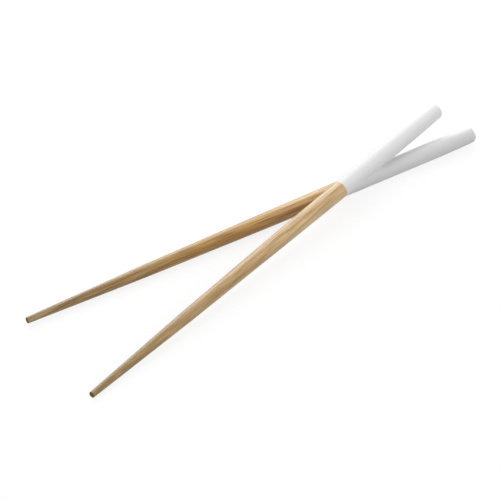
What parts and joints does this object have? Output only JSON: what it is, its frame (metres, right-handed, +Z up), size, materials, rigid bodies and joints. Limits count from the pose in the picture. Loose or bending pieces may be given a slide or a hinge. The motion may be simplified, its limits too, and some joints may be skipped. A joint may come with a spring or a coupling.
{
  "type": "chopsticks",
  "caption": "Round tapered bamboo chopsticks for picking up food, with plain white dipped handles, lying crossed one over the other.",
  "frame": {"origin": "on the table, under the middle of the pair's box", "axes": "+X along the middle line between the two sticks, from their tips to their handles, +Z up from the table"},
  "size_m": [0.2368, 0.0558, 0.0182],
  "materials": {
    "bamboo": "turned and sanded bamboo with a lengthwise grain, thinly oiled, satin",
    "white_lacquer": "smooth dipped white lacquer, satin"
  },
  "bodies": {
    "root": {"bottom_bamboo_stick": "bamboo", "bottom_white_coat": "white_lacquer", "top_bamboo_stick": "bamboo", "top_white_coat": "white_lacquer"}
  },
  "joints": []
}
